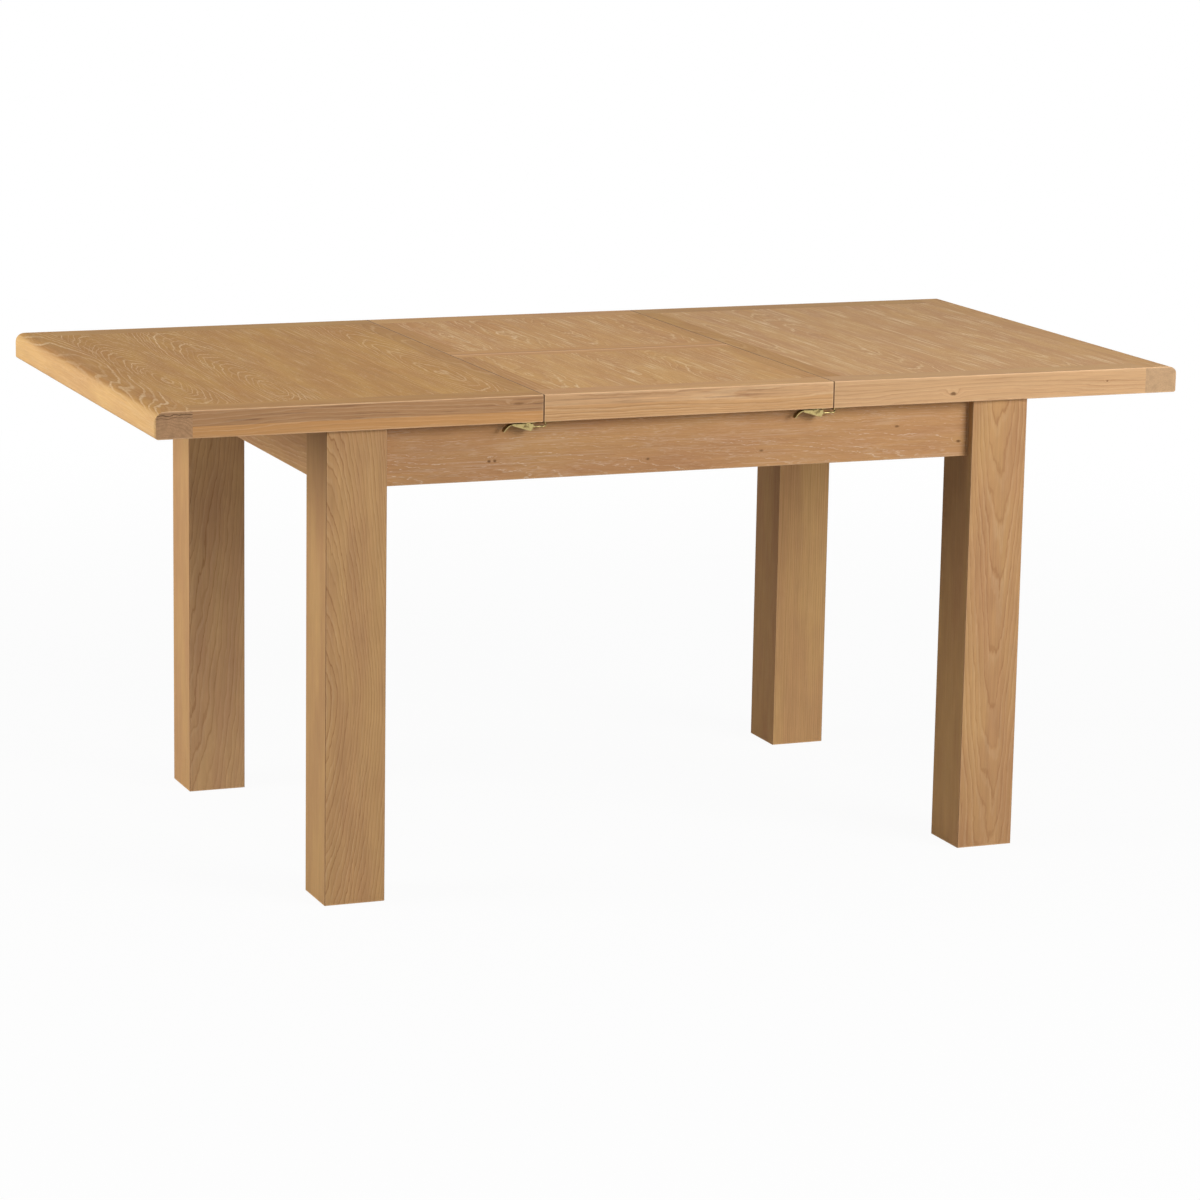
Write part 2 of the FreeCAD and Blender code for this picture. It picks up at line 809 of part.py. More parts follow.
def at_seam(shapes, seam, face, towards):
    """Puts latch pieces at a seam, in front or at the back, with the hook pointing along towards."""
    placed = []
    for shape in shapes:
        copy = shape.copy()
        if towards < 0:
            copy.rotate(Vector(0, 0, 0), UP, 180)
        seam_x = seam * (half_leaf + seam_gap / 2)
        copy.translate(Vector(seam_x, face * latch_y, edge_bottom))
        placed.append(copy)
    return placed


# Where each latch sits: its seam, its face, and the way its hook points.
LATCHES = {
    "front_left": (LEFT, FRONT, 1),
    "back_left": (LEFT, BACK, 1),
    "front_right": (RIGHT, FRONT, 1),
    "back_right": (RIGHT, BACK, -1),
}


def latch_parts(maker, *names):
    """The solids that one of the makers above gives, at each of the named latches."""
    solids = []
    for name in names:
        made = maker()
        shapes = made if isinstance(made, list) else [made]
        solids.extend(at_seam(shapes, *LATCHES[name]))
    return solids


# --- Write every node ---

os.makedirs("parts", exist_ok=True)

CORNERS = [(side, face) for side in (LEFT, RIGHT) for face in (FRONT, BACK)]

for side, face in CORNERS:
    write("leg_" + FACE_NAMES[face] + "_" + SIDE_NAMES[side], [leg(side, face)])
for face in (FRONT, BACK):
    write("apron_" + FACE_NAMES[face], [long_apron(face)])
for side in (LEFT, RIGHT):
    write("apron_" + SIDE_NAMES[side], [end_apron(side)])
write("corner_blocks", [corner_block(side, face) for side, face in CORNERS])
write("hanger_bolts", [corner_bolt(side, face) for side, face in CORNERS])
write("hanger_washers", [corner_washer(side, face) for side, face in CORNERS])
write("hanger_nuts", [corner_nut(side, face) for side, face in CORNERS])
write("floor_glides", [glide(side, face) for side, face in CORNERS])
write("cross_rails", [cross_rail(side) for side in (LEFT, RIGHT)])
write("rail_screws", all_rail_screws())
write("guide_bars", [guide_bar(face) for face in (FRONT, BACK)])
write("pivot_blocks", [pivot_block(side) for side in (LEFT, RIGHT)])
write("pivot_pins", [pivot_pin(side) for side in (LEFT, RIGHT)])
write("pivot_brackets", [pivot_bracket(side) for side in (LEFT, RIGHT)])

top_fitting_screws = {
    LEFT: latch_parts(latch_screws, "front_left", "back_left"),
    RIGHT: latch_parts(latch_screws, "back_right") + latch_parts(keeper_screws, "front_right"),
}
leaf_fitting_screws = {
    FRONT: latch_parts(latch_screws, "front_right") + latch_parts(keeper_screws, "front_left"),
    BACK: latch_parts(keeper_screws, "back_left", "back_right"),
}
leaf_fitting_screws[FRONT] += bracket_screws(LEFT) + bracket_screws(RIGHT)

for side in (LEFT, RIGHT):
    own_screws = runner_screws(side) + top_fitting_screws[side]
    name = SIDE_NAMES[side] + "_top_"
    for board, shape in end_top_boards(side).items():
        write(name + board, [without(shape, own_screws)])
    write(name + "runners", [runner(side, face) for face in (FRONT, BACK)])
    write(name + "screws", own_screws)

for face in (FRONT, BACK):
    name = "leaf_" + FACE_NAMES[face] + "_"
    cutters = leaf_fitting_screws[face] + barrel_bores(face)
    for board, solids in leaf_half_boards(face).items():
        write(name + board, [without(solid, cutters) for solid in solids])
    write(name + "hinge_barrels", hinge_barrels(face))
    write(name + "screws", leaf_fitting_screws[face])

write("latch_bases_left_top", latch_parts(latch_base, "front_left", "back_left"))
write("latch_base_right_top", latch_parts(latch_base, "back_right"))
write("latch_base_leaf", latch_parts(latch_base, "front_right"))
write("keeper_leaf_front", latch_parts(keeper, "front_left"))
write("keepers_leaf_back", latch_parts(keeper, "back_left", "back_right"))
write("keeper_right_top", latch_parts(keeper, "front_right"))
for name in LATCHES:
    write("latch_lever_" + name, latch_parts(lever, name))
    write("latch_hook_" + name, latch_parts(hook, name))
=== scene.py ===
import itertools
import math
from collections import namedtuple

import bpy
from mathutils import Matrix, Vector

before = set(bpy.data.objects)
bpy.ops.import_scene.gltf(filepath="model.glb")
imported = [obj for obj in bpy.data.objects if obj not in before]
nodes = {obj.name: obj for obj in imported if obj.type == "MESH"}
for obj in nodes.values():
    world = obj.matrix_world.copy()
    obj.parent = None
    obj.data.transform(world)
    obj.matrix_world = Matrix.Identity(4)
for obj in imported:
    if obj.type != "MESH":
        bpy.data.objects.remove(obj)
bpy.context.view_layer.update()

MM_PER_M = 1000.0
AXES = {"x": 0, "y": 1, "z": 2}
X, Y, Z = AXES.values()
LOW, HIGH = 0, 1


def box_around(*names):
    """The lowest and the highest corner of the box around some nodes, in millimetres."""
    corners = [corner for name in names for corner in nodes[name].bound_box]
    lowest = tuple(round(MM_PER_M * min(corner[axis] for corner in corners), 3) for axis in (X, Y, Z))
    highest = tuple(round(MM_PER_M * max(corner[axis] for corner in corners), 3) for axis in (X, Y, Z))
    return lowest, highest


# --- Colours ---

def linear(channel):
    """One sRGB channel from 0 to 255 as a linear value."""
    share = channel / 255
    return share / 12.92 if share <= 0.04045 else ((share + 0.055) / 1.055) ** 2.4


def rgb(red, green, blue):
    return (linear(red), linear(green), linear(blue), 1.0)


def tones(red, green, blue, spread=5):
    """Two tones of a board: a darker, pinker one and a lighter, yellower one."""
    darker = rgb(red - spread, green - spread - 1, blue - spread + 2)
    lighter = rgb(red + spread, green + spread + 1, blue + spread - 3)
    return darker, lighter


WHITE = (1.0, 1.0, 1.0, 1.0)
LIME = rgb(226, 200, 164)
GREY_LIME = rgb(212, 188, 164)
LATE_WOOD = rgb(132, 84, 52)
KNOT_DARK = rgb(96, 64, 40)
CURVE_DARK = rgb(74, 52, 40)
# Painted shade along the legs' upright arrises.
SEAM_DARK = rgb(70, 46, 28)
LEG_ARRIS_PAINTED_SHADE = rgb(118, 84, 52)
# Painted highlight on the rounded arris along the leaf's fold.
FOLD_ARRIS_PAINTED_HIGHLIGHT = rgb(224, 180, 142)
# Pale worn edges that also serve as a painted highlight along the arrises.
WORN_AND_HIGHLIT_PALE = rgb(230, 190, 148)
CUT_END = rgb(176, 140, 104)


# --- Node building ---

class Net:
    """The node tree of a material or a world, with short calls that make a node and return its output.

    A value in these calls is another node's output or a plain number, colour or vector.
    """

    def __init__(self, owner):
        self.owner = owner
        owner.use_nodes = True
        self.tree = owner.node_tree
        self.tree.nodes.clear()

    def node(self, kind, **settings):
        made = self.tree.nodes.new(kind)
        for key, value in settings.items():
            setattr(made, key, value)
        return made

    def put(self, value, socket):
        """Links an output to a socket, or sets the socket to a plain value."""
        if isinstance(value, bpy.types.NodeSocket):
            self.tree.links.new(value, socket)
        else:
            socket.default_value = value

    def fill(self, made, *values):
        """Puts values into a node's first sockets, in order, and returns the node's first output."""
        for value, socket in zip(values, made.inputs):
            self.put(value, socket)
        return made.outputs[0]

    def math(self, operation, *values):
        return self.fill(self.node("ShaderNodeMath", operation=operation), *values)

    def add(self, *values):
        total = values[0]
        for value in values[1:]:
            total = self.math("ADD", total, value)
        return total

    def mul(self, a, b):
        return self.math("MULTIPLY", a, b)

    def minus(self, a, b):
        return self.math("SUBTRACT", a, b)

    def larger(self, a, b):
        return self.math("MAXIMUM", a, b)

    def apart(self, a, b):
        return self.math("ABSOLUTE", self.minus(a, b))

    def hypotenuse(self, a, b):
        return self.math("SQRT", self.add(self.mul(a, a), self.mul(b, b)))

    def scaled(self, vector, factors, offset=(0.0, 0.0, 0.0)):
        made = self.node("ShaderNodeVectorMath", operation="MULTIPLY_ADD")
        return self.fill(made, vector, factors, offset)

    def components(self, vector):
        made = self.node("ShaderNodeSeparateXYZ")
        self.put(vector, made.inputs[0])
        return made.outputs

    def noise(self, vector, detail, roughness):
        """Noise about 0.5, one feature per unit of the vector."""
        made = self.node("ShaderNodeTexNoise", noise_dimensions="3D")
        self.put(vector, made.inputs["Vector"])
        made.inputs["Scale"].default_value = 1.0
        made.inputs["Detail"].default_value = detail
        made.inputs["Roughness"].default_value = roughness
        return made.outputs["Fac"]

    def noise_line(self, value):
        """Noise about 0.5 along a line, one feature per unit of the value."""
        made = self.node("ShaderNodeTexNoise", noise_dimensions="1D")
        self.put(value, made.inputs["W"])
        made.inputs["Scale"].default_value = 1.0
        made.inputs["Detail"].default_value = 1.0
        return made.outputs["Fac"]

    def steps(self, value, low, high, to_low=0.0, to_high=1.0):
        """A smooth step from to_low, where the value is under low, to to_high, where it is over high."""
        made = self.node("ShaderNodeMapRange", clamp=True, interpolation_type="SMOOTHSTEP")
        return self.fill(made, value, low, high, to_low, to_high)

    def mix(self, factor, first, second):
        """Two colours mixed. The node's colour sockets are inputs 6 and 7 and output 2."""
        made = self.node("ShaderNodeMix", data_type="RGBA", blend_type="MIX", clamp_factor=True)
        self.put(factor, made.inputs[0])
        self.put(first, made.inputs[6])
        self.put(second, made.inputs[7])
        return made.outputs[2]

    def mix_shaders(self, factor, first, second):
        return self.fill(self.node("ShaderNodeMixShader"), factor, first, second)

    def scale_colour(self, colour, factor):
        made = self.node("ShaderNodeVectorMath", operation="SCALE")
        self.put(colour if isinstance(colour, bpy.types.NodeSocket) else colour[:3], made.inputs[0])
        self.put(factor, made.inputs["Scale"])
        return made.outputs[0]

    def bump(self, height, distance, strength):
        made = self.node("ShaderNodeBump")
        made.inputs["Strength"].default_value = strength
        made.inputs["Distance"].default_value = distance
        self.put(height, made.inputs["Height"])
        return made.outputs["Normal"]

    def glow(self, kind, strength):
        """An Emission or Background shader of plain white."""
        made = self.node(kind)
        made.inputs["Color"].default_value = WHITE
        made.inputs["Strength"].default_value = strength
        return made.outputs[0]

    def object_place(self):
        """The place on the object in millimetres, and the way that its surface looks."""
        coordinates = self.node("ShaderNodeTexCoord")
        place = self.scaled(coordinates.outputs["Object"], (MM_PER_M, MM_PER_M, MM_PER_M))
        return place, coordinates.outputs["Normal"]

    def sees_backdrop(self):
        """1 for the rays that see the white backdrop: from the camera, or by way of metal or glass."""
        path = self.node("ShaderNodeLightPath")
        seen = self.larger(path.outputs["Is Camera Ray"], path.outputs["Is Glossy Ray"])
        return self.larger(seen, path.outputs["Is Transmission Ray"])

    def surface(self, colour, roughness, normal, **sockets):
        """Ends the tree in a Principled shader; the sockets take plain values."""
        shader = self.node("ShaderNodeBsdfPrincipled")
        self.put(colour, shader.inputs["Base Color"])
        self.put(roughness, shader.inputs["Roughness"])
        self.put(normal, shader.inputs["Normal"])
        for name, value in sockets.items():
            shader.inputs[name.replace("_", " ")].default_value = value
        return self.end(shader.outputs[0], "ShaderNodeOutputMaterial")

    def end(self, shader, kind):
        """Ends the tree in an output node of a kind, and returns the material or the world."""
        self.put(shader, self.node(kind).inputs["Surface"])
        return self.owner


# --- Oak ---

# A noise: the size of its features across and along the grain in millimetres, its detail and roughness,
# and a start that keeps it unlike the others. Where it marks out patches, they fade in from low to high.
Noise = namedtuple("Noise", "across along detail roughness start low high", defaults=(0.0, 1.0))

# Where the piths of a board's leaves lie, and at which bounds across the board the leaves meet.
Figure = namedtuple("Figure", "bounds centres depths rises middles face_level")

SEED_STEPS = (13.7, 7.3, 5.1)        # how far a board's seed moves its noise along x, y and z, in features
LEAF_SHIFT = 37.0                    # millimetres further along that each leaf of veneer is cut


def solid_board(centre, depth, rise, middle, face_level):
    """Where the pith of a board's log lies: at centre across the board, and below its face at face_level
    by depth at the place middle along the grain, and further by rise for each millimetre from there."""
    return Figure((), (centre,), (depth,), (rise,), (middle,), face_level)


def veneer(bounds, *leaves):
    """Leaves of veneer side by side, which meet at bounds; each leaf is (centre, depth, rise, middle)."""
    return Figure(bounds, *zip(*leaves), None)


def stepped(net, value, bounds, amounts):
    """A number that changes at each bound: amounts has one value more than bounds."""
    total = amounts[0]
    for bound, before, after in zip(bounds, amounts, amounts[1:]):
        past = net.math("GREATER_THAN", value, bound)
        total = net.math("MULTIPLY_ADD", past, after - before, total)
    return total


class Board:
    """A board in a node tree: l runs along its grain, w across its width and t through it."""

    def __init__(self, net, along, across, seed, bounds):
        through = (set(AXES) - {along, across}).pop()
        self.net = net
        self.along, self.across, self.through = AXES[along], AXES[across], AXES[through]
        place, facing = net.object_place()
        self.places = net.components(place)
        self.facing = net.components(facing)
        self.l = self.places[self.along]
        self.w = self.places[self.across]
        self.t = self.places[self.through]
        shift = stepped(net, self.w, bounds, [LEAF_SHIFT * leaf for leaf in range(len(bounds) + 1)])
        grain_place = net.node("ShaderNodeCombineXYZ")
        self.grain_place = net.fill(grain_place, self.w, self.t, net.add(self.l, shift))
        self.seed = seed

    def noise(self, kind):
        factors = (1 / kind.across, 1 / kind.across, 1 / kind.along)
        offset = tuple(self.seed * step + kind.start for step in SEED_STEPS)
        place = self.net.scaled(self.grain_place, factors, offset)
        return self.net.noise(place, kind.detail, kind.roughness)

    def sway(self, kind, amount):
        """Noise about 0, from half the amount below it to half the amount above."""
        return self.net.math("MULTIPLY_ADD", self.noise(kind), amount, -amount / 2)

    def patches(self, kind, between=0.0, within=1.0):
        """One value within the patches of a noise and another between them."""
        return self.net.steps(self.noise(kind), kind.low, kind.high, between, within)

    def faces(self, axis, low, high):
        """1 where the surface looks squarely along an axis; it fades in from low to high."""
        return self.net.steps(self.net.math("ABSOLUTE", self.facing[axis]), low, high)


# Growth rings, in millimetres where no other unit is named.
DEPTH_DRIFT = Noise(60, 340, 2.0, 0.5, 0.0)
SIDE_DRIFT = Noise(90, 260, 1.0, 0.5, 3.1)
WAVES = Noise(17, 64, 2.0, 0.5, 6.7)
RIPPLES = Noise(2.2, 60, 2.0, 0.5, 9.2)
ZIGZAGS = Noise(6, 13, 2.0, 0.5, 12.2)
KNOT_EDGES = Noise(4, 6, 2.0, 0.5, 1.7)
DEPTH_WARP = 16.0                    # how far the rings sway in depth over a board's length
SIDE_WARP = 12.0                     # how far they sway across it
SOFT_TIP = 28.0                      # how blunt the tips of a figure are
ZIGZAG_SHARE = 1.8                   # zigzags, against the ripple
RINGS_IN_GROUP = 7                   # wide and narrow rings come in groups
GROUP_DRIFT = 2.4                    # how many rings a group gains or loses
KNOT_PUSH = 1.3                      # how many rings bend around a knot
KNOT_REACH = 3.4                     # how far out they bend, in sizes of the knot
KNOT_BLUR = 0.9                      # how ragged a knot is, in its sizes
KNOT_CORE = (0.3, 1.1)               # where its dark core fades out, in its sizes
RING_STEP = 1.73                     # how far apart neighbouring rings read the noise of their vigour
VIGOUR_SPREAD = (0.34, 0.66)
WEAKEST_RING = 0.35


def growth(board, figure, ring, wave, ripple, knots):
    """Where in its growth ring a place lies, the ring's number, how flat the rings are cut, and the knots.

    The rings follow the distance from the pith, which is least at a figure's middle.
    """
    net = board.net
    centre = stepped(net, board.w, figure.bounds, figure.centres)
    depth = stepped(net, board.w, figure.bounds, figure.depths)
    rise = stepped(net, board.w, figure.bounds, figure.rises)
    middle = stepped(net, board.w, figure.bounds, figure.middles)
    run = net.hypotenuse(net.minus(board.l, middle), SOFT_TIP)
    level = net.add(depth, net.mul(rise, run), board.sway(DEPTH_DRIFT, DEPTH_WARP))
    if figure.face_level is not None:
        level = net.add(level, board.t, -figure.face_level)
    side = net.add(net.minus(board.w, centre), board.sway(SIDE_DRIFT, SIDE_WARP))
    reach = net.hypotenuse(side, level)
    flatness = net.math("ABSOLUTE", net.math("DIVIDE", level, reach))
    reach = net.add(
        reach,
        board.sway(WAVES, 2 * wave),
        board.sway(RIPPLES, 2 * ripple),
        board.sway(ZIGZAGS, ZIGZAG_SHARE * ripple),
    )
    knot_core = 0.0
    for knot_w, knot_l, half_width, half_length, darkness in knots:
        across = net.mul(net.minus(board.w, knot_w), 1 / half_width)
        along = net.mul(net.minus(board.l, knot_l), 1 / half_length)
        away = net.add(net.hypotenuse(across, along), board.sway(KNOT_EDGES, KNOT_BLUR))
        reach = net.add(reach, net.steps(away, 0.0, KNOT_REACH, KNOT_PUSH * ring, 0.0))
        knot_core = net.larger(knot_core, net.mul(net.steps(away, *KNOT_CORE, 1.0, 0.0), darkness))
    group = net.noise_line(net.mul(reach, 1 / (RINGS_IN_GROUP * ring)))
    turns = net.add(net.mul(reach, 1 / ring), net.mul(group, GROUP_DRIFT))
    return net.math("FRACT", turns), net.math("FLOOR", turns), flatness, knot_core


def ring_vigour(net, number, seed):
    """How strongly each ring is marked."""
    vigour = net.noise_line(net.math("MULTIPLY_ADD", number, RING_STEP, seed))
    return net.steps(vigour, *VIGOUR_SPREAD, WEAKEST_RING, 1.0)


# Where in a growth ring, from 0 at its start to 1 at its end, each mark fades in and out.
EARLY_WOOD_IN = (0.0, 0.08)
LATE_LINE_IN = (0.78, 0.88)
LATE_LINE_OUT = (0.94, 1.0)
LATE_SHADE_IN = (0.40, 0.90)
LATE_SHADE_OUT = (0.93, 1.0)
LATE_LINE_SHARE = 0.75


def ring_mark(net, phase, fade_in, fade_out):
    """1 over one part of each growth ring, and 0 over the rest."""
    return net.mul(net.steps(phase, *fade_in), net.steps(phase, *fade_out, 1.0, 0.0))


def late_wood(net, phase, vigour):
    """The dense end of each ring: a line on a softer shade."""
    line = net.mul(ring_mark(net, phase, LATE_LINE_IN, LATE_LINE_OUT), LATE_LINE_SHARE)
    shade = net.mul(ring_mark(net, phase, LATE_SHADE_IN, LATE_SHADE_OUT), 1 - LATE_LINE_SHARE)
    return net.mul(net.add(line, shade), vigour)


# Liming. Strengths run from 0 to 1.
PORES = Noise(0.6, 12, 1.0, 0.5, 2.3, 0.46, 0.60)
LOOSE_PORES = Noise(9, 60, 2.0, 0.5, 8.1, 0.46, 0.70)
LIME_DASHES = Noise(2.4, 20, 1.0, 0.5, 4.9, 0.42, 0.56)
LIME_PATCHES = Noise(40, 160, 2.0, 0.6, 0.4, 0.34, 0.60)
THREADS = Noise(2.8, 170, 2.0, 0.5, 14.1, 0.55, 0.66)
THREAD_PATCHES = Noise(34, 120, 2.0, 0.5, 15.3, 0.42, 0.60)
LIME_BETWEEN_PATCHES = 0.65
FLAT_CUT = (0.25, 0.95)              # how flat rings are cut, where their pores open up
STEEP_CUT_LIME = 0.45
LIME_BESIDE_PORES = 0.75
LIME_IN_PORES = 0.45                 # added to that
FEWEST_LOOSE_PORES = 0.05
MOST_LOOSE_PORES = 0.35
FEWEST_THREADS = 0.15


def liming(board, open_wood, flatness, dash, dash_size, thread):
    """Lime in the early wood, broken into dashes, and in single pores and fine threads."""
    net = board.net
    pores = board.patches(PORES)
    dashes = board.patches(LIME_DASHES._replace(across=dash_size[0], along=dash_size[1]), 1.0 - dash)
    patches = board.patches(LIME_PATCHES, LIME_BETWEEN_PATCHES)
    open_cut = net.steps(flatness, *FLAT_CUT, STEEP_CUT_LIME, 1.0)
    limed = net.mul(open_wood, net.mul(net.mul(dashes, patches), open_cut))
    limed = net.mul(limed, net.math("MULTIPLY_ADD", pores, LIME_IN_PORES, LIME_BESIDE_PORES))
    loose_pores = net.mul(pores, board.patches(LOOSE_PORES, FEWEST_LOOSE_PORES, MOST_LOOSE_PORES))
    threads = net.mul(board.patches(THREADS, 0.0, thread), board.patches(THREAD_PATCHES, FEWEST_THREADS))
    return net.larger(net.larger(limed, loose_pores), threads)


# Two bands of colour on an edge.
BAND_STREAKS = Noise(4.5, 130, 3.0, 0.6, 2.2, 0.52, 0.70)
BAND_STREAK_STRENGTH = 0.75
BAND_BLUR = 0.6                      # in millimetres
BAND_FACES = (0.25, 0.55)            # how squarely a face looks outward, where the bands fade in


def banded(board, colour, split, upper, lower, streak):
    """A colour for each side of a height on the board's wide faces, with dark streaks in the upper one."""
    net = board.net
    height = board.places[Z]
    bands = net.mix(net.steps(height, split - BAND_BLUR, split + BAND_BLUR), lower, upper)
    streaks = board.patches(BAND_STREAKS, 0.0, BAND_STREAK_STRENGTH)
    streaks = net.mul(streaks, net.math("GREATER_THAN", height, split))
    bands = net.mix(streaks, bands, streak)
    return net.mix(board.faces(board.through, *BAND_FACES), colour, bands)


# Cut ends.
END_SPECKS = Noise(1.4, 1.4, 3.0, 0.6, 4.4, 0.38, 0.70)
END_BLOTCHES = Noise(9, 9, 3.0, 0.6, 3.3, 0.42, 0.66)
END_BENDS = Noise(16, 4000, 2.0, 0.5, 0.0)      # each curve has a start of its own
BLOTCH_SHARE = 0.9                   # blotches, against the specks
END_MARK_LIGHT = 0.55                # how light the marks are, against the end's colour
CURVE_CORE = 0.2                     # the part of a curve's half width that has its full strength
END_FACES = (0.70, 0.92)


def end_grain(board, end_colour, rings, specks, curves):
    """The colour of a cut end: specks, blotches, rings and dark curved lines on a plain colour."""
    net = board.net
    deep = tuple(END_MARK_LIGHT * channel for channel in end_colour[:3]) + (1.0,)
    blotches = board.patches(END_BLOTCHES, 0.0, BLOTCH_SHARE * specks)
    marks = net.larger(board.patches(END_SPECKS, 0.0, specks), blotches)
    cut = net.mix(rings, net.mix(marks, end_colour, deep), deep)
    for level, bend, half_width, amount in curves:
        bent = net.add(board.t, board.sway(END_BENDS._replace(start=level), bend))
        drawn = net.steps(net.apart(bent, level), CURVE_CORE * half_width, half_width, amount, 0.0)
        cut = net.mix(drawn, cut, CURVE_DARK)
    return cut


# Worn edges that also carry a painted highlight, and lines drawn where boards meet or turn a corner; the
# lines at corners are painted shade and painted highlight.
WEAR_AND_HIGHLIGHT_BREAKS = Noise(5, 40, 3.0, 0.6, 2.9, 0.32, 0.60)
LEAST_WEAR_AND_HIGHLIGHT = 0.55
WEAR_AND_HIGHLIGHT_REACH = (0.3, 2.6)              # where the worn edge and its painted highlight fade out, in millimetres from an edge
LINE_CORE = 0.6                      # the part of a line's half width that has its full strength


def worn_and_highlit_edges(board, box):
    """1 along the edges of a box, broken up, and 0 away from them: worn edges that also stand in as a
    painted highlight.
    """
    net = board.net
    gaps = []
    for axis in (X, Y, Z):
        middle = (box[LOW][axis] + box[HIGH][axis]) / 2
        half = (box[HIGH][axis] - box[LOW][axis]) / 2
        gaps.append(net.minus(half, net.apart(board.places[axis], middle)))
    least = net.math("MINIMUM", net.math("MINIMUM", gaps[X], gaps[Y]), gaps[Z])
    most = net.larger(net.larger(gaps[X], gaps[Y]), gaps[Z])
    second = net.minus(net.minus(net.add(*gaps), least), most)
    edges = net.steps(second, *WEAR_AND_HIGHLIGHT_REACH, 1.0, 0.0)
    return net.mul(edges, board.patches(WEAR_AND_HIGHLIGHT_BREAKS, LEAST_WEAR_AND_HIGHLIGHT))


def drawn_line(board, colour, planes, half_width, line_colour, amount):
    """A thin line drawn over a colour where the board crosses one plane, or two planes at once."""
    net = board.net
    off = 0.0
    for axis, level in planes:
        off = net.larger(off, net.apart(board.places[axis], level))
    drawn = net.steps(off, LINE_CORE * half_width, half_width, amount, 0.0)
    return net.mix(drawn, colour, line_colour)


# The whole of it. Each noise that lightens and darkens the wood comes with its share of streak or mottle.
TONE_DRIFT = Noise(45, 230, 3.0, 0.6, 5.5, 0.30, 0.70)
LONG_STREAKS = (Noise(5, 210, 3.0, 0.6, 7.7), 2.4)
FINE_STREAKS = (Noise(1.2, 80, 1.0, 0.5, 1.1), 2.6)
FIBRES = (Noise(0.5, 14, 1.0, 0.5, 5.9), 1.4)
MOTTLING = (Noise(24, 60, 3.0, 0.6, 3.9), 2.0)
SIDE_FACES = (0.45, 0.80)
SIDE_CALM = 0.65                     # how much weaker the rings are on faces with colours of their own
POLISH_DRIFT = Noise(70, 160, 3.0, 0.6, 6.1)
POLISH_STREAKS = Noise(1.4, 24, 2.0, 0.5, 0.9)
GRAIN_RELIEF = Noise(0.6, 14, 2.0, 0.6, 8.8)
LIME_ROUGHNESS = 0.12
POLISH_DRIFT_AMOUNT = 0.12
POLISH_STREAK_AMOUNT = 0.06
LIME_HEIGHT = -0.6                   # heights are shares of WOOD_RELIEF
LATE_WOOD_HEIGHT = 0.35
GRAIN_HEIGHT = 0.7
WOOD_RELIEF = 0.00012                # in metres
WOOD_RELIEF_STRENGTH = 0.55
WOOD_SHINE = 0.05


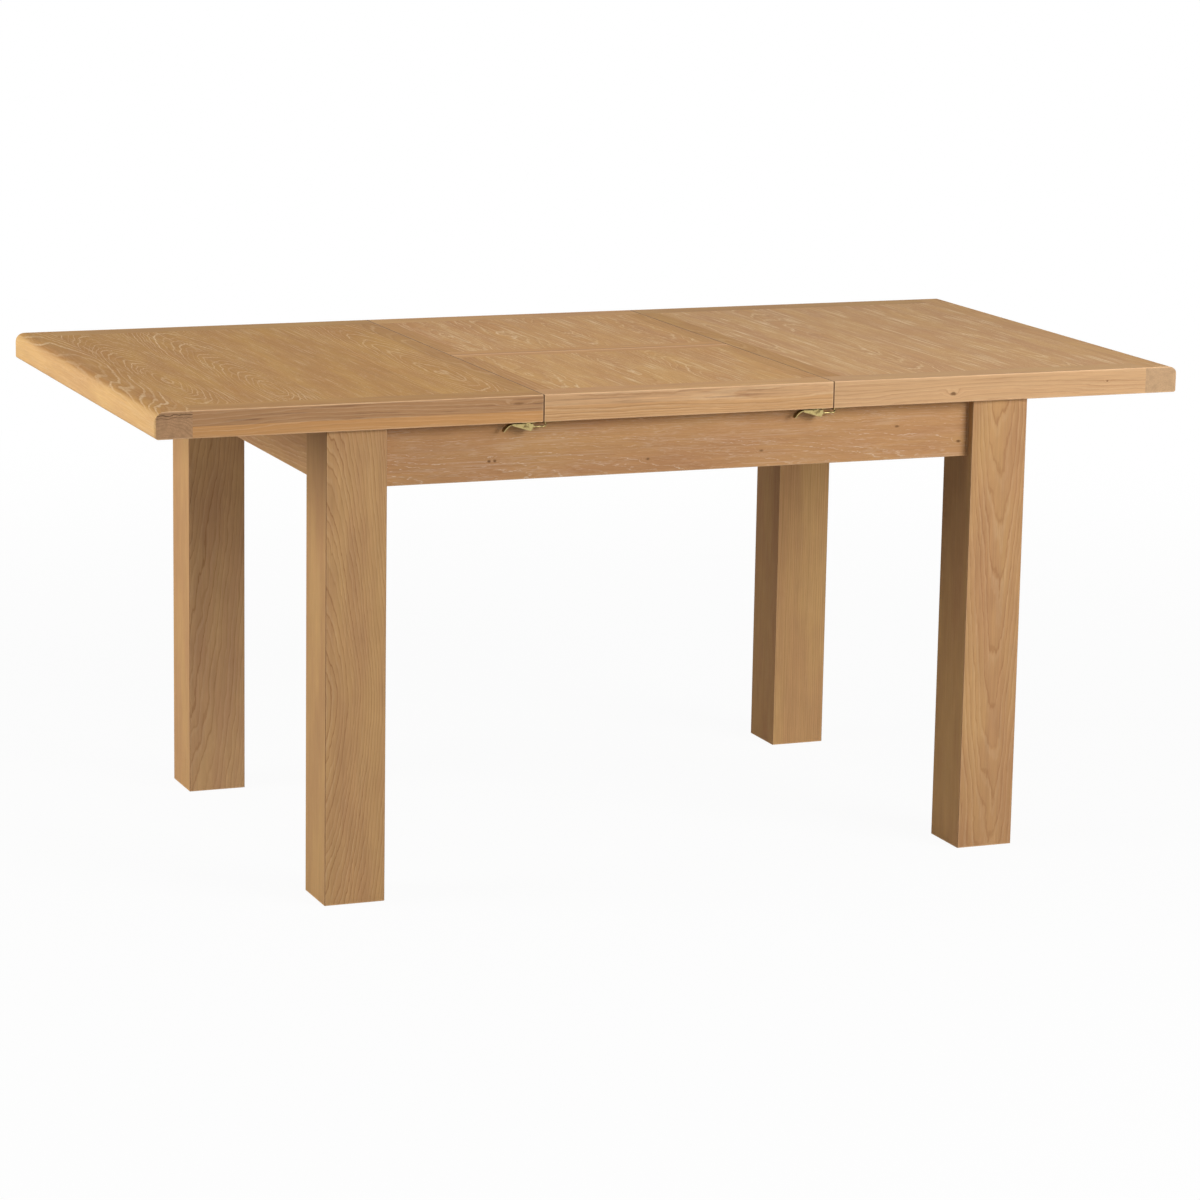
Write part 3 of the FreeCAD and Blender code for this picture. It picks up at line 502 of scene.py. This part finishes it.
def oak(
    name, along, across, colours, seed, figure,
    ring=3.6, wave=1.5, ripple=0.5,
    lime=0.5, lime_colour=LIME, dash=0.25, dash_size=LIME_DASHES[:2], pore_end=(0.20, 0.40), thread=0.25,
    late=0.18, streak=0.09, mottle=0.06, leaf_light=None, side_colours=None, bands=None,
    end_colour=None, end_specks=0.5, end_rings=0.5, end_curves=(),
    knots=(), wear_box=None, wear=0.75, lines=(), roughness=0.62,
):
    """Oak with growth rings, limed pores, streaks, end grain, knots, worn edges that also carry a painted
    highlight, and drawn lines.

    Lengths are in millimetres, and strengths run from 0 to 1.
    along, across: the axes of the grain and of the board's visible width
    colours: two tones that drift into each other; side_colours: those of the faces that look across
    seed: makes the board's noise its own
    figure: where the pith lies, from solid_board or veneer
    ring: a ring's width; wave, ripple: how far rings bend over a long and a short way
    lime, lime_colour: the limed early wood, which fades out over the part pore_end of a ring
    dash, dash_size: how far the lime is broken up, and the size of its dashes; thread: pale threads
    late, streak, mottle: the strength of dark late wood, streaks and soft patches
    leaf_light: the brightness of each leaf of veneer
    bands: the height where two colours meet, the upper, the lower and the streaks' colour
    end_colour, end_specks, end_rings: the colour of cut ends, and the strength of the marks on them
    end_curves: curves on them, each (level, bend, half width, strength)
    knots: each (place across, place along, half width, half length, darkness)
    wear_box, wear: the box whose edges are worn and given a painted highlight, and how much
    lines: each (planes, half width, colour, strength), where a plane is (axis, level)
    """
    net = Net(bpy.data.materials.new(name))
    board = Board(net, along, across, seed, figure.bounds)
    phase, number, flatness, knot_core = growth(board, figure, ring, wave, ripple, knots)
    vigour = ring_vigour(net, number, seed)
    if side_colours:
        sideways = board.faces(board.across, *SIDE_FACES)
        vigour = net.mul(vigour, net.math("MULTIPLY_ADD", sideways, -SIDE_CALM, 1.0))
    early = ring_mark(net, phase, EARLY_WOOD_IN, pore_end)
    dense = late_wood(net, phase, vigour)
    limed = liming(board, net.mul(early, vigour), flatness, dash, dash_size, thread)

    tone = board.patches(TONE_DRIFT)
    colour = net.mix(tone, *colours)
    if side_colours:
        colour = net.mix(sideways, colour, net.mix(tone, *side_colours))
    if bands:
        colour = banded(board, colour, *bands)
    streaks = [board.sway(kind, share * streak) for kind, share in (LONG_STREAKS, FINE_STREAKS, FIBRES)]
    mottling, mottling_share = MOTTLING
    light = net.add(1.0, *streaks, board.sway(mottling, mottling_share * mottle))
    if leaf_light:
        light = net.mul(light, stepped(net, board.w, figure.bounds, leaf_light))
    colour = net.scale_colour(colour, light)
    colour = net.mix(net.mul(dense, late), colour, LATE_WOOD)
    colour = net.mix(net.mul(limed, lime), colour, lime_colour)
    if end_colour:
        rings = net.mul(net.mul(net.add(early, dense), vigour), end_rings)
        cut = end_grain(board, end_colour, rings, end_specks, end_curves)
        colour = net.mix(board.faces(board.along, *END_FACES), colour, cut)
    if knots:
        colour = net.mix(knot_core, colour, KNOT_DARK)
    # Pale worn edges, which also stand in as a painted highlight on the arrises.
    if wear_box:
        colour = net.mix(net.mul(worn_and_highlit_edges(board, wear_box), wear), colour, WORN_AND_HIGHLIT_PALE)
    for line in lines:
        colour = drawn_line(board, colour, *line)

    gloss = net.add(
        roughness,
        net.mul(limed, LIME_ROUGHNESS),
        board.sway(POLISH_DRIFT, POLISH_DRIFT_AMOUNT),
        board.sway(POLISH_STREAKS, POLISH_STREAK_AMOUNT),
    )
    height = net.add(
        net.mul(limed, LIME_HEIGHT),
        net.mul(dense, LATE_WOOD_HEIGHT),
        board.sway(GRAIN_RELIEF, GRAIN_HEIGHT),
    )
    normal = net.bump(height, WOOD_RELIEF, WOOD_RELIEF_STRENGTH)
    return net.surface(colour, gloss, normal, Specular_IOR_Level=WOOD_SHINE)


# --- Metals and plastic ---

# Noise features in each millimetre along x, y and z.
TARNISH_FEATURES = (0.12, 0.12, 0.12)
SCRATCH_FEATURES = (0.35, 4.0, 4.0)
GRAIN_FEATURES = (2.5, 2.5, 2.5)
SCUFF_FEATURES = (0.15, 0.15, 0.15)

TARNISH_SPREAD = (0.42, 0.72)
TARNISH_ROUGHNESS = 0.5
TARNISH_HEIGHT = 0.6                 # against that of the scratches
SCRATCH_LIGHT = 0.05                 # how far scratches lighten and darken a metal
SCRATCH_ROUGHNESS = 0.08
METAL_RELIEF = 0.00004               # in metres
METAL_RELIEF_STRENGTH = 0.5
SCUFF_LIGHT = 0.25                   # how far scuffs lighten and darken a plastic
SCUFF_ROUGHNESS = 0.1
PLASTIC_RELIEF = 0.00006             # in metres
PLASTIC_RELIEF_STRENGTH = 0.6


def even_noise(net, place, features, detail):
    return net.noise(net.scaled(place, features), detail, 0.6)


def metal(name, colour, dull, roughness, tarnish=0.25):
    """A plated metal with fine scratches and a dull film in patches."""
    net = Net(bpy.data.materials.new(name))
    place, _ = net.object_place()
    patches = even_noise(net, place, TARNISH_FEATURES, 4.0)
    scratches = even_noise(net, place, SCRATCH_FEATURES, 2.0)
    film = net.mul(net.steps(patches, *TARNISH_SPREAD), tarnish)
    base = net.mix(film, colour, dull)
    light = net.math("MULTIPLY_ADD", scratches, 2 * SCRATCH_LIGHT, 1 - SCRATCH_LIGHT)
    base = net.scale_colour(base, light)
    gloss = net.add(roughness, net.mul(film, TARNISH_ROUGHNESS), net.mul(scratches, SCRATCH_ROUGHNESS))
    height = net.add(scratches, net.mul(patches, TARNISH_HEIGHT))
    normal = net.bump(height, METAL_RELIEF, METAL_RELIEF_STRENGTH)
    return net.surface(base, gloss, normal, Metallic=1.0)


def plastic(name, colour, roughness):
    """Moulded plastic with a fine texture and scuffs."""
    net = Net(bpy.data.materials.new(name))
    place, _ = net.object_place()
    grains = even_noise(net, place, GRAIN_FEATURES, 3.0)
    scuffs = even_noise(net, place, SCUFF_FEATURES, 3.0)
    light = net.math("MULTIPLY_ADD", scuffs, 2 * SCUFF_LIGHT, 1 - SCUFF_LIGHT)
    gloss = net.math("MULTIPLY_ADD", scuffs, 2 * SCUFF_ROUGHNESS, roughness - SCUFF_ROUGHNESS)
    normal = net.bump(grains, PLASTIC_RELIEF, PLASTIC_RELIEF_STRENGTH)
    return net.surface(net.scale_colour(colour, light), gloss, normal)


# --- Which piece gets which material ---

seeds = itertools.count(1)


def dress(node, material):
    """Gives a CAD node its material in every slot."""
    mesh = nodes[node].data
    if not mesh.materials:
        mesh.materials.append(material)
    for slot in range(len(mesh.materials)):
        mesh.materials[slot] = material


def dress_oak(node, along, across, colours, figure, **settings):
    """Gives a CAD node an oak of its own; the arguments are those of oak."""
    dress(node, oak(node + "_oak", along, across, colours, next(seeds), figure, **settings))


def box_of_boards(group, *boards):
    return box_around(*(group + "_" + board for board in boards))


def seam_line(axis, level, half_width, amount):
    """The dark line that a seam leaves on each of the parts that meet there."""
    return ((axis, level),), half_width, SEAM_DARK, amount


TOP_BOARDS = ("panel", "seam_strip", "end_board", "front_lipping", "back_lipping")
LEAF_BOARDS = ("panel", "end_strips", "fold_strip", "lipping")
LEFT_TOP = box_of_boards("left_top", *TOP_BOARDS)
RIGHT_TOP = box_of_boards("right_top", *TOP_BOARDS)
LEAF_FRONT = box_of_boards("leaf_front", *LEAF_BOARDS)
LEAF_BACK = box_of_boards("leaf_back", *LEAF_BOARDS)
TOP_Z = LEFT_TOP[HIGH][Z]
FRONT_Y = LEFT_TOP[LOW][Y]
BACK_Y = LEFT_TOP[HIGH][Y]

# Left end top.
left = {"wear_box": LEFT_TOP, "lines": (seam_line(X, LEFT_TOP[HIGH][X], 1.5, 0.75),)}
dress_oak(
    "left_top_panel", "y", "x", tones(171, 127, 73),
    veneer(
        (-700.0, -572.0, -392.0),
        (-757.0, 15.0, 0.12, -152.0),
        (-622.0, 26.0, 0.09, -277.0),
        (-650.0, 30.0, 0.05, -300.0),
        (-317.0, 36.0, 0.063, -167.0),
    ),
    lime=0.76, wave=2.2, pore_end=(0.14, 0.30), thread=0.5, leaf_light=(0.985, 1.0, 1.03, 1.07), **left,
)
dress_oak(
    "left_top_seam_strip", "y", "x", tones(171, 128, 79),
    veneer((), (-250.0, 60.0, 0.03, 0.0)), lime=0.3, **left,
)
dress_oak(
    "left_top_end_board", "y", "x", tones(170, 126, 74),
    solid_board(-838.0, 40.0, 0.07, 70.0, TOP_Z), lime=0.6, ring=4.2, wave=3.0,
    side_colours=tones(196, 155, 103), end_colour=rgb(189, 148, 110),
    end_curves=(
        (TOP_Z - 6.0, 7.0, 1.1, 0.8),
        (TOP_Z - 10.5, 9.0, 0.8, 0.6),
        (TOP_Z - 3.0, 4.0, 0.6, 0.4),
    ), **left,
)
dress_oak(
    "left_top_front_lipping", "x", "z", tones(169, 127, 79),
    solid_board(700.0, 90.0, 0.02, -520.0, FRONT_Y), lime=0.2, late=0.14,
    bands=(TOP_Z - 24.4, rgb(174, 132, 93), rgb(194, 144, 93), rgb(124, 90, 68)),
    end_colour=CUT_END, knots=((768.0, -286.0, 2.4, 14.0, 0.5),), **left,
)
dress_oak(
    "left_top_back_lipping", "x", "z", tones(171, 131, 84),
    solid_board(720.0, 80.0, 0.02, -500.0, BACK_Y), lime=0.25, end_colour=CUT_END, **left,
)

# Right end top.
right = {"wear_box": RIGHT_TOP, "lines": (seam_line(X, RIGHT_TOP[LOW][X], 1.5, 0.75),)}
dress_oak(
    "right_top_panel", "y", "x", tones(187, 144, 99),
    veneer(
        (412.0, 480.0, 562.0, 702.0),
        (300.0, 120.0, 0.02, 0.0),
        (436.0, 60.0, 0.05, 40.0),
        (600.0, 60.0, 0.045, 60.0),
        (690.0, 34.0, 0.05, 220.0),
        (860.0, 130.0, 0.03, 0.0),
    ),
    ring=3.4, wave=1.2, ripple=0.6, lime=0.85, dash=0.5, pore_end=(0.12, 0.28), thread=0.9,
    streak=0.06, mottle=0.04, **right,
)
dress_oak(
    "right_top_seam_strip", "y", "x", tones(176, 133, 84),
    veneer((), (250.0, 60.0, 0.03, 0.0)), lime=0.25, **right,
)
dress_oak(
    "right_top_end_board", "y", "x", tones(186, 144, 98),
    solid_board(842.0, 44.0, 0.05, 100.0, TOP_Z), lime=0.3,
    end_colour=rgb(187, 153, 117), end_specks=0.4, end_rings=0.15, **right,
)
dress_oak(
    "right_top_front_lipping", "x", "z", tones(185, 146, 105),
    solid_board(700.0, 90.0, 0.02, 500.0, FRONT_Y), lime=0.15, late=0.26,
    bands=(TOP_Z - 23.0, rgb(194, 155, 114), rgb(194, 154, 113), rgb(176, 134, 96)),
    end_colour=rgb(206, 170, 132),
    knots=((752.0, 452.0, 3.4, 7.0, 0.8), (761.0, 728.0, 1.6, 2.4, 0.8)), **right,
)
dress_oak(
    "right_top_back_lipping", "x", "z", tones(176, 136, 92),
    solid_board(720.0, 80.0, 0.02, 480.0, BACK_Y), lime=0.25, end_colour=rgb(190, 154, 118), **right,
)

# Centre leaf: seams at its two ends and its fold, and a painted highlight on the front half's arris along
# the fold.
LEAF_LINES = (
    seam_line(X, LEAF_FRONT[LOW][X], 1.3, 0.7),
    seam_line(X, LEAF_FRONT[HIGH][X], 1.3, 0.7),
    seam_line(Y, 0.0, 1.9, 0.6),
)
FOLD_ARRIS_HIGHLIGHT_LINE = (((Y, -6.5),), 5.0, FOLD_ARRIS_PAINTED_HIGHLIGHT, 0.5)
leaf_front = {"wear_box": LEAF_FRONT, "lines": (FOLD_ARRIS_HIGHLIGHT_LINE,) + LEAF_LINES}
leaf_back = {"wear_box": LEAF_BACK, "lines": LEAF_LINES}
leaf_grain = {
    "ring": 3.0, "wave": 2.0, "ripple": 0.7,
    "lime": 0.84, "dash": 0.4, "pore_end": (0.10, 0.26), "thread": 0.8,
}
dress_oak(
    "leaf_front_panel", "y", "x", tones(186, 141, 90),
    veneer(
        (-112.0, 18.0, 158.0),
        (-190.0, 90.0, 0.03, -200.0),
        (-22.0, 44.0, 0.06, -250.0),
        (84.0, 36.0, 0.07, -360.0),
        (200.0, 100.0, 0.02, -200.0),
    ),
    **leaf_grain, **leaf_front,
)
dress_oak(
    "leaf_back_panel", "y", "x", tones(186, 140, 91),
    veneer(
        (-140.0, -30.0, 96.0),
        (-178.0, 50.0, 0.06, 220.0),
        (-70.0, 100.0, 0.03, 200.0),
        (34.0, 32.0, 0.07, 250.0),
        (180.0, 90.0, 0.04, 200.0),
    ),
    **leaf_grain, **leaf_back,
)
for half, settings, edge in (("leaf_front", leaf_front, FRONT_Y), ("leaf_back", leaf_back, BACK_Y)):
    dress_oak(
        half + "_end_strips", "y", "x", tones(176, 131, 83),
        veneer((0.0,), (-250.0, 60.0, 0.03, 0.0), (262.0, 54.0, 0.05, 0.0)), lime=0.3, **settings,
    )
    dress_oak(
        half + "_fold_strip", "x", "y", tones(186, 140, 92),
        veneer((), (60.0, 70.0, 0.03, 0.0)), lime=0.25, end_colour=CUT_END, **settings,
    )
    dress_oak(
        half + "_lipping", "x", "z", tones(188, 145, 99),
        solid_board(768.0, 18.0, 0.012, 160.0, edge), lime=0.3, late=0.4, streak=0.15,
        bands=(TOP_Z - 19.0, rgb(197, 156, 114), rgb(194, 150, 104), rgb(158, 118, 86)),
        end_colour=CUT_END, **settings,
    )

# Legs: each one's figure, the tones of its front and of its sides, its late wood, ring and wave. The
# sides' tones are darkened with painted shade, most of all on the back right leg.
LEGS = {
    "leg_front_left": (
        (-612.0, 60.0, 0.13, 330.0), tones(183, 142, 98), tones(167, 129, 86), 0.5, 3.8, 1.8,
    ),
    "leg_front_right": (
        (542.0, 40.0, 0.045, 880.0), tones(177, 136, 94), tones(162, 124, 82), 0.36, 3.8, 1.8,
    ),
    "leg_back_left": (
        (-630.0, 56.0, 0.09, 1100.0), tones(186, 147, 106), tones(180, 139, 94), 0.42, 5.0, 3.6,
    ),
    "leg_back_right": (
        (700.0, 20.0, 0.04, 120.0), tones(187, 147, 101), tones(152, 115, 77), 0.3, 3.8, 1.8,
    ),
}
for leg, (figure, colours, side_colours, late, ring, wave) in LEGS.items():
    box = box_around(leg)
    # Dark lines along each leg's four upright arrises: painted shade, drawn like a shaded groove.
    arris_shade_lines = [
        (((X, x), (Y, y)), 1.5, LEG_ARRIS_PAINTED_SHADE, 0.7)
        for x in (box[LOW][X], box[HIGH][X]) for y in (box[LOW][Y], box[HIGH][Y])
    ]
    dress_oak(
        leg, "z", "x", colours, solid_board(*figure, box[LOW][Y]), ring=ring, wave=wave, ripple=0.6,
        lime=0.14, late=late, streak=0.10, mottle=0.09, side_colours=side_colours,
        end_colour=rgb(150, 116, 84), wear_box=box, wear=0.4, lines=arris_shade_lines,
    )

# Aprons. Only the front one has knots: a double eye, an oval in the rings and four small ones.
FRONT_KNOTS = (
    (677.0, -323.0, 2.8, 3.4, 0.8),
    (677.0, -314.0, 2.8, 3.4, 0.8),
    (704.0, -406.0, 9.0, 30.0, 0.0),
    (668.0, -61.0, 2.4, 4.4, 0.7),
    (672.0, 131.0, 2.4, 4.4, 0.65),
    (700.0, 366.0, 2.4, 5.0, 0.65),
    (671.0, 475.0, 2.6, 6.0, 0.85),
)
for node, outside, knots in (("apron_front", LOW, FRONT_KNOTS), ("apron_back", HIGH, ())):
    box = box_around(node)
    dress_oak(
        node, "x", "z", tones(176, 132, 90), solid_board(640.0, 50.0, 0.05, -560.0, box[outside][Y]),
        ring=3.0, wave=3.0, ripple=1.1, lime=0.85, lime_colour=GREY_LIME,
        dash=0.85, dash_size=(1.4, 9.0), pore_end=(0.10, 0.22), late=0.10, knots=knots,
        wear_box=box, wear=0.35,
    )
for node, outside in (("apron_left", LOW), ("apron_right", HIGH)):
    box = box_around(node)
    dress_oak(
        node, "y", "z", tones(180, 138, 94), solid_board(700.0, 60.0, 0.02, 0.0, box[outside][X]),
        lime=0.35, dash=0.6, wear_box=box, wear=0.35,
    )

# Inner timber: planed, unfinished and hardly limed. Each node's grain and visible width.
INNER = {
    "corner_blocks": ("x", "z"),
    "cross_rails": ("y", "x"),
    "guide_bars": ("x", "y"),
    "pivot_blocks": ("y", "z"),
    "left_top_runners": ("x", "y"),
    "right_top_runners": ("x", "y"),
}
for node, (along, across) in INNER.items():
    dress_oak(
        node, along, across, tones(190, 158, 116), solid_board(0.0, 320.0, 0.03, 0.0, 0.0),
        ring=4.4, lime=0.06, late=0.26, streak=0.07, end_colour=rgb(168, 134, 98), roughness=0.68,
    )

# Fittings.
brass = metal("plated_brass", rgb(178, 160, 108), rgb(86, 70, 42), 0.26, tarnish=0.85)
zinc = metal("zinc_plate", rgb(176, 178, 178), rgb(128, 130, 128), 0.34)
steel = metal("bare_steel", rgb(138, 138, 140), rgb(100, 98, 96), 0.42)
nylon = plastic("dark_nylon", rgb(42, 38, 35), 0.55)
for node in nodes:
    if node.startswith(("latch_", "keeper")) or node.endswith("hinge_barrels"):
        dress(node, brass)
    elif node.endswith("screws") or node in ("hanger_nuts", "hanger_washers", "pivot_pins"):
        dress(node, zinc)
    elif node in ("hanger_bolts", "pivot_brackets"):
        dress(node, steel)
dress("floor_glides", nylon)


# --- Floor, in metres ---

FLOOR_HALF = 40.0
FLOOR_COLOUR = rgb(206, 206, 206)
NEAR_TABLE = 1.0
FAR_FROM_TABLE = 4.0
WHITE_NEAR_TABLE = 0.95


def floor_material():
    """A plain pale floor that keeps a soft shadow by the table and shows white further away. From below
    it is clear, so that the table's underside can be looked at."""
    net = Net(bpy.data.materials.new("pale_floor"))
    away = net.node("ShaderNodeVectorMath", operation="LENGTH")
    net.put(net.node("ShaderNodeTexCoord").outputs["Object"], away.inputs[0])
    whiteness = net.steps(away.outputs["Value"], NEAR_TABLE, FAR_FROM_TABLE, WHITE_NEAR_TABLE, 1.0)
    matt = net.node("ShaderNodeBsdfDiffuse")
    matt.inputs["Color"].default_value = FLOOR_COLOUR
    white = net.glow("ShaderNodeEmission", 1.0)
    above = net.mix_shaders(net.mul(net.sees_backdrop(), whiteness), matt.outputs[0], white)
    clear = net.node("ShaderNodeBsdfTransparent").outputs[0]
    from_below = net.node("ShaderNodeNewGeometry").outputs["Backfacing"]
    return net.end(net.mix_shaders(from_below, above, clear), "ShaderNodeOutputMaterial")


floor_mesh = bpy.data.meshes.new("studio_floor")
floor_signs = ((-1, -1), (1, -1), (1, 1), (-1, 1))
floor_mesh.from_pydata([(FLOOR_HALF * x, FLOOR_HALF * y, 0.0) for x, y in floor_signs], [], [(0, 1, 2, 3)])
floor_mesh.materials.append(floor_material())
floor = bpy.data.objects.new("studio_floor", floor_mesh)
bpy.context.scene.collection.objects.link(floor)


# --- Light ---

SKY_STRENGTH = 0.15
AIM = Vector((0.0, 0.0, 0.6))


def softbox(name, place, size, watts):
    """A square area lamp at a place in metres, turned towards the table."""
    data = bpy.data.lights.new(name, "AREA")
    data.shape = "SQUARE"
    data.size = size
    data.energy = watts
    lamp = bpy.data.objects.new(name, data)
    lamp.location = place
    lamp.rotation_mode = "QUATERNION"
    lamp.rotation_quaternion = (AIM - Vector(place)).to_track_quat("-Z", "Y")
    bpy.context.scene.collection.objects.link(lamp)


def studio_world():
    """A dim white sky that looks plain white where it is seen."""
    net = Net(bpy.data.worlds.new("studio"))
    sky = net.glow("ShaderNodeBackground", SKY_STRENGTH)
    backdrop = net.glow("ShaderNodeBackground", 1.0)
    return net.end(net.mix_shaders(net.sees_backdrop(), sky, backdrop), "ShaderNodeOutputWorld")


softbox("key_left", (-3.9, 0.2, 1.8), 2.0, 122.0)
softbox("fill_right", (2.2, -3.3, 2.3), 2.2, 156.0)
softbox("overhead", (0.0, 0.0, 3.2), 2.8, 20.0)
bpy.context.scene.world = studio_world()


# --- Camera ---

CAMERA_PLACE = Vector((-2.4782, -6.2120, 1.7569))
CAMERA_TURN = math.radians(-21.95)
CAMERA_DROP = math.radians(11.79)
CAMERA_ROLL = math.radians(0.99)
FOCAL_PIXELS = 4118.5
IMAGE_PIXELS = 1200.0
SENSOR_MM = 36.0

ahead = Vector((
    -math.sin(CAMERA_TURN) * math.cos(CAMERA_DROP),
    math.cos(CAMERA_TURN) * math.cos(CAMERA_DROP),
    -math.sin(CAMERA_DROP),
))
level_right = ahead.cross(Vector((0.0, 0.0, 1.0))).normalized()
level_up = level_right.cross(ahead)
camera_right = level_right * math.cos(CAMERA_ROLL) + level_up * math.sin(CAMERA_ROLL)
camera_up = level_up * math.cos(CAMERA_ROLL) - level_right * math.sin(CAMERA_ROLL)
camera_data = bpy.data.cameras.new("camera")
camera_data.sensor_width = SENSOR_MM
camera_data.lens = FOCAL_PIXELS / IMAGE_PIXELS * SENSOR_MM
camera_data.clip_start = 0.1
camera_data.clip_end = 200.0
camera = bpy.data.objects.new("camera", camera_data)
turned = Matrix((camera_right, camera_up, -ahead)).transposed()
camera.matrix_world = Matrix.Translation(CAMERA_PLACE) @ turned.to_4x4()
bpy.context.scene.collection.objects.link(camera)
bpy.context.scene.camera = camera
bpy.context.scene.view_settings.view_transform = "Standard"
